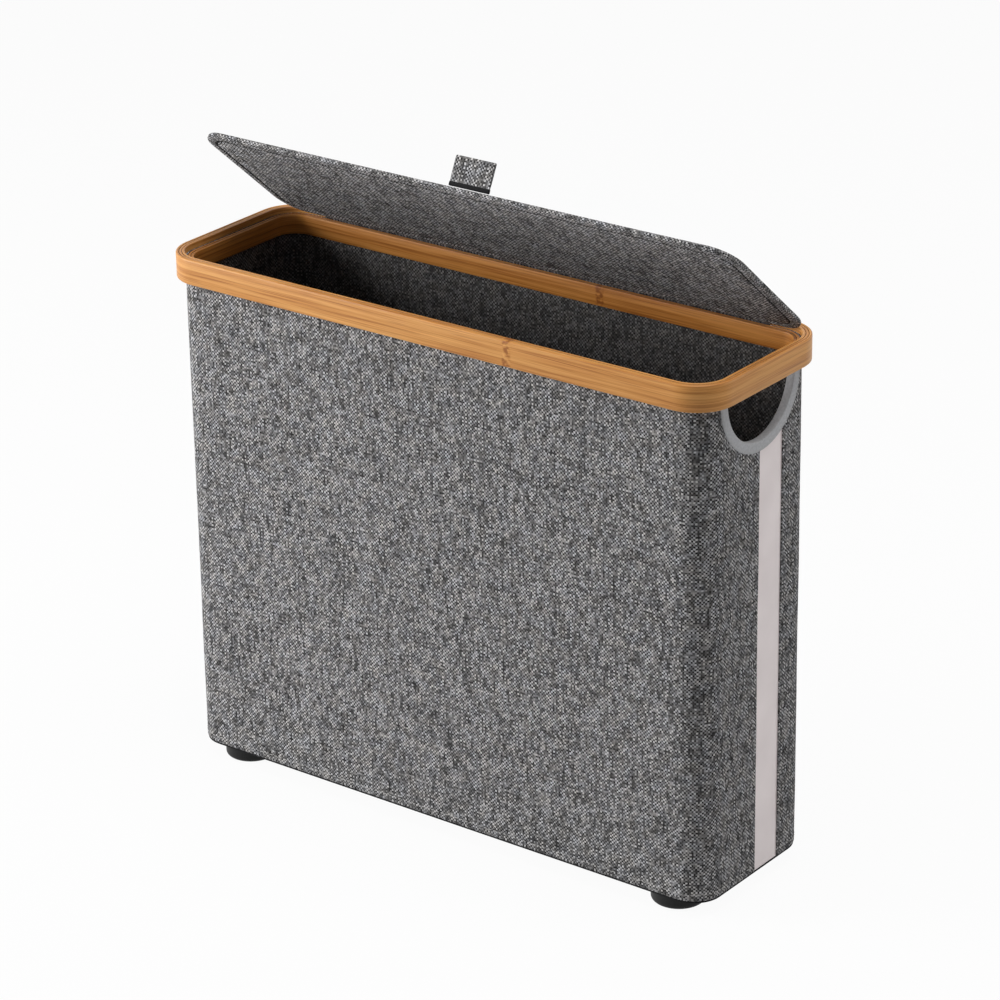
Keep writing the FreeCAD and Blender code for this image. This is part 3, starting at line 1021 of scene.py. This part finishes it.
for vertex in lid_panel.data.vertices:
    if vertex.co.z < panel_low.z + PANEL_LOW_LAYER:
        edge_room = min(panel_high.x - abs(vertex.co.x), vertex.co.y - panel_low.y,
                        panel_high.y - vertex.co.y)
        ease = min(1, max(0, edge_room) / PANEL_EASE)
        wave = ripple(vertex.co.x, vertex.co.y, PANEL_WAVE, PANEL_SEED)
        vertex.co.z -= ease * (PANEL_SAG + PANEL_SWELL * wave)
write_uv(lid_panel, lambda point: (point.x + HALF_X, point.y + HALF_Y))
lid_panel.data.transform(LID_TURN)
smooth(lid_panel, SHARP_EDGES)
finish_piece(lid_panel, heather_cloth, "lid", "grey_fabric", "lid_under_panel")

# %% [markdown]
# A dark ring lies in the crease: painted shade, standing in for the shadow there. It is a flat ring, because
# single stitches would be too small to see.

# %% Painted crease shadow
SHADOW_RING_SINK = 0.25 * MM
SHADOW_RING_HEIGHT = 0.3 * MM
crease_shadow_ring = rounded_plan("crease_shadow_ring", panel_low.x, panel_high.x, panel_low.y, panel_high.y,
                          panel_low.z + SHADOW_RING_SINK, LID_RADIUS - HEM)
raise_ring(crease_shadow_ring, GROOVE, SHADOW_RING_HEIGHT)
crease_shadow_ring.data.transform(LID_TURN)
finish_piece(crease_shadow_ring, black_felt_and_painted_shade, "lid", "dark_cloth")

# %% [markdown]
# The hinge is a strip of the lining cloth, clamped between the hoops and sewn along the lid's back edge.
# It crosses the joint, so it is one grid drawn open: it runs up from the rim to the hinge and on along the
# lid, smoothed at the fold. Two stiff halves would open a gap at the fold.

# %% Cloth hinge
LEAF_REACH = 18 * MM
HINGE_COLUMNS = 60
HINGE_ROWS = 48
leaf_down = HINGE.z - leaf_low.z
leaf_length = leaf_down + LEAF_REACH
hinge_strip = start_grid("hinge_strip", 2 * half_leaf, leaf_length, HINGE_COLUMNS, HINGE_ROWS)
write_uv(hinge_strip, lambda point: (point.x + half_leaf, point.y + leaf_length / 2))
toward_lid = (LID_TURN.to_3x3() @ Vector((0, -1, 0))).normalized()
for vertex in hinge_strip.data.vertices:
    along = vertex.co.y + leaf_length / 2 - leaf_down
    if along < 0:
        place = HINGE + Vector((0, 0, along))
    else:
        place = HINGE + toward_lid * along
    vertex.co = Vector((vertex.co.x, place.y, place.z))
modify(hinge_strip, "SMOOTH", factor=0.5, iterations=2)
modify(hinge_strip, "SOLIDIFY", thickness=LINING_CLOTH, offset=0)
smooth(hinge_strip, THREAD_EDGES)
paint(hinge_strip, lining_cloth)
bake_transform(hinge_strip)
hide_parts("hinge_strip_rim_leaf", "hinge_strip_lid_leaf")
print("hinge strip", round(leaf_length / MM, 1), "mm deep")

# %% [markdown]
# The pull tab is a short strip folded double, with its two ends sewn down together on the lid.
# It is a grid carried up one side, over the fold and down the other. A box would have no fold.

# %% Pull tab
tab_low, tab_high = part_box("pull_tab")
TAB_WIDTH = tab_high.x - tab_low.x
TAB_HEIGHT = 21 * MM
TAB_CLOTH = 0.9 * MM
TAB_COLUMNS = 16
TAB_ROWS = 60
FOLD_RADIUS = 0.75 * MM
ROOT_PINCH = 0.35
PINCH_RUN = 8 * MM
TAB_ANGLE = math.radians(15)
TAB_LEAN = (Matrix.Translation(TAB_ROOT) @ Matrix.Rotation(TAB_ANGLE, 4, "X")
            @ Matrix.Translation(-TAB_ROOT))
leg = TAB_HEIGHT - FOLD_RADIUS - TAB_CLOTH / 2
tab_run = 2 * leg + math.pi * FOLD_RADIUS
pull_tab_cloth = start_grid("pull_tab_cloth", TAB_WIDTH, tab_run, TAB_COLUMNS, TAB_ROWS)
write_uv(pull_tab_cloth, lambda point: (point.x + TAB_WIDTH, point.y + tab_run))
for vertex in pull_tab_cloth.data.vertices:
    along = vertex.co.y + tab_run / 2
    if along < leg:
        front, up = -FOLD_RADIUS, along
    elif along > tab_run - leg:
        front, up = FOLD_RADIUS, tab_run - along
    else:
        turn = (along - leg) / FOLD_RADIUS
        front, up = -FOLD_RADIUS * math.cos(turn), leg + FOLD_RADIUS * math.sin(turn)
    pinch = ROOT_PINCH + (1 - ROOT_PINCH) * min(1, up / PINCH_RUN)
    vertex.co = Vector((TAB_ROOT.x + vertex.co.x, TAB_ROOT.y + front * pinch, TAB_ROOT.z + up))
tidy_normals(pull_tab_cloth)
modify(pull_tab_cloth, "SOLIDIFY", thickness=TAB_CLOTH, offset=0)
pull_tab_cloth.data.transform(TAB_LEAN)
pull_tab_cloth.data.transform(LID_TURN)
smooth(pull_tab_cloth, SOFT_EDGES)
finish_piece(pull_tab_cloth, heather_cloth, "tab", "grey_fabric", "pull_tab")

# %% [markdown]
# A dark band round the tab's root is painted shade, for the shadow of the fold there. It is a low block with
# rounded edges, and it leans with the tab.

# %% Painted shadow at the tab's root
BAND_HEIGHT = 3.2 * MM
BAND_HALF = 1.35 * MM
BAND_PAST = 0.4 * MM
BAND_ROUND = 0.6 * MM
band_reach = TAB_WIDTH / 2 + BAND_PAST
tab_root_shadow_band = start_plane("tab_root_shadow_band", TAB_ROOT.x - band_reach, TAB_ROOT.x + band_reach,
                       TAB_ROOT.y - BAND_HALF, TAB_ROOT.y + BAND_HALF, TAB_ROOT.z)
raise_up(tab_root_shadow_band, BAND_HEIGHT)
edit(tab_root_shadow_band)
bpy.ops.mesh.bevel(offset=BAND_ROUND, segments=ROUND_STEPS, affect="EDGES")
done()
write_uv(tab_root_shadow_band, lambda point: (point.x + HALF_X, point.y + point.z))
tab_root_shadow_band.data.transform(TAB_LEAN)
tab_root_shadow_band.data.transform(LID_TURN)
smooth(tab_root_shadow_band, SOFT_EDGES)
finish_piece(tab_root_shadow_band, black_felt_and_painted_shade, "tab", "dark_cloth")

# %% [markdown]
# The hand cut-out is bound with tape. A rounded section is placed at the end of the half-moon and spun round
# it, and then pushed in where the wall starts to turn the corner. A curve could carry the section too.
# Stitches like the cover's hold its outer edge.

# %% Binding tape
TAPE_FOLD = 0.65 * MM
TAPE_ROUND = 0.7 * MM
TAPE_ROUND_STEPS = 4
TAPE_STEPS = 48
TAPE_TOP = RIM_BOTTOM - 0.1 * MM
wall_radius = CORNER - COVER_DEPTH


def corner_fall(y):
    """How far the end wall has turned back at a distance from its middle."""
    past = max(0, abs(y) - STRAIGHT_Y)
    return wall_radius - math.sqrt(wall_radius ** 2 - past ** 2)


binding = rounded_plan("binding", tape_low.x, tape_high.x, HAND_RADIUS - TAPE_FOLD, TAPE_RADIUS, 0,
                       TAPE_ROUND, TAPE_ROUND_STEPS)
binding.data.transform(Matrix.Translation((0, 0, TAPE_TOP)))
edit(binding)
bpy.ops.mesh.spin(steps=TAPE_STEPS, angle=math.pi, center=(0, 0, TAPE_TOP), axis=(1, 0, 0))
done()
tidy_normals(binding)
for vertex in binding.data.vertices:
    vertex.co.x -= corner_fall(vertex.co.y)
smooth(binding, SOFT_EDGES)
finish_piece(binding, binding_tape, "bin", "binding_tape", "handle_binding")

# %% Tape stitches
TAPE_STITCHES = 40
TAPE_STITCH_LENGTH = 2.3 * MM
TAPE_STITCH_WIDTH = 0.5 * MM
TAPE_ROW = TAPE_RADIUS - 1.4 * MM
tape_places = []
for index in range(TAPE_STITCHES):
    angle = math.pi * (1 + (index + 0.5) / TAPE_STITCHES)
    y = TAPE_ROW * math.cos(angle)
    middle = Vector((tape_high.x - corner_fall(y), y, RIM_BOTTOM + TAPE_ROW * math.sin(angle)))
    tape_places.append((middle, Vector((0, -math.sin(angle), math.cos(angle))), Vector((1, 0, 0))))
tape_stitches = stitch_row("tape_stitches", tape_places, TAPE_STITCH_LENGTH, TAPE_STITCH_WIDTH)
finish_piece(tape_stitches, pale_thread, "bin", "binding_tape")

# %% [markdown]
# The window is soft film behind the slit. Its solid is the right shape, so it only takes the milky finish.

# %% Window film
paint(frame["nodes"]["window_sheet"], milky_film)

# %% [markdown]
# The lamps: a large soft one from the front left, a weaker one from behind on the right, and a soft top
# light. One lamp alone would leave the right end black.

# %% Lamps
LAMP_TARGET = (0, 0, 0.22)
LAMPS = [
    ("key_lamp", (-1.62, -1.2, 0.74), 1.0, 44),
    ("side_lamp", (1.6, 1.1, 0.9), 0.9, 8.5),
    ("top_lamp", (0.4, -0.1, 2.2), 1.2, 24),
]
for name, place, size, watts in LAMPS:
    bpy.ops.object.select_all(action="DESELECT")
    bpy.ops.object.light_add(type="AREA", location=place)
    lamp = bpy.context.object
    lamp.name = name
    lamp.data.size = size
    lamp.data.energy = watts
    lamp.rotation_mode = "QUATERNION"
    lamp.rotation_quaternion = (Vector(LAMP_TARGET) - Vector(place)).to_track_quat("-Z", "Y")
    print("lamp", name, watts, "W")

# %% [markdown]
# The floor and the background are white to the camera and in reflections, and add little other light.
# More light would whiten a grey floor too, but it would bleach the bin.

# %% Floor
WHITE = (1, 1, 1, 1)
BACKGROUND_RAYS = ["Is Glossy Ray", "Is Transmission Ray"]
FLOOR_SIZE = 12
FLOOR_GREY = 0.72
FLOOR_ROUGHNESS = 0.9
FLOOR_WHITE = 0.95
bpy.ops.object.select_all(action="DESELECT")
bpy.ops.mesh.primitive_plane_add(size=FLOOR_SIZE, location=(0, 0, 0))
studio_floor = bpy.context.object
studio_floor.name = "studio_floor"
floor_finish = Finish("studio_floor")
rays = floor_finish.node("ShaderNodeLightPath").socket.node.outputs
direct = Wire(floor_finish, rays["Is Camera Ray"])
for ray in BACKGROUND_RAYS:
    direct = floor_finish.math("MAXIMUM", direct, Wire(floor_finish, rays[ray]))
glow = floor_finish.node("ShaderNodeEmission", sockets={"Color": WHITE, "Strength": 1.0})
floor_finish.give(Base_Color=(*grey(FLOOR_GREY), 1), Roughness=FLOOR_ROUGHNESS)
blend_floor = floor_finish.node("ShaderNodeMixShader", sockets={
    0: direct * FLOOR_WHITE, 1: Wire(floor_finish, floor_finish.shader.outputs[0]), 2: glow})
floor_finish.feed(floor_finish.tree.nodes["Material Output"].inputs["Surface"], blend_floor)
studio_floor.data.materials.append(floor_finish.material)
print("floor", FLOOR_SIZE, "m")

# %% World
AMBIENT = 0.115
world = bpy.data.worlds.new("studio_world")
bpy.context.scene.world = world
world.use_nodes = True
tree = world.node_tree
tree.nodes.clear()


def backdrop(strength):
    """A white background of some strength."""
    made = tree.nodes.new("ShaderNodeBackground")
    made.inputs["Color"].default_value = WHITE
    made.inputs["Strength"].default_value = strength
    return made.outputs[0]


rays = tree.nodes.new("ShaderNodeLightPath").outputs
sees_white = rays["Is Camera Ray"]
for ray in BACKGROUND_RAYS:
    either = tree.nodes.new("ShaderNodeMath")
    either.operation = "MAXIMUM"
    tree.links.new(sees_white, either.inputs[0])
    tree.links.new(rays[ray], either.inputs[1])
    sees_white = either.outputs[0]
chosen = tree.nodes.new("ShaderNodeMixShader")
tree.links.new(sees_white, chosen.inputs[0])
tree.links.new(backdrop(AMBIENT), chosen.inputs[1])
tree.links.new(backdrop(1.0), chosen.inputs[2])
sky = tree.nodes.new("ShaderNodeOutputWorld")
tree.links.new(chosen.outputs[0], sky.inputs["Surface"])
bpy.context.scene.view_settings.view_transform = "Standard"
print("ambient", AMBIENT)
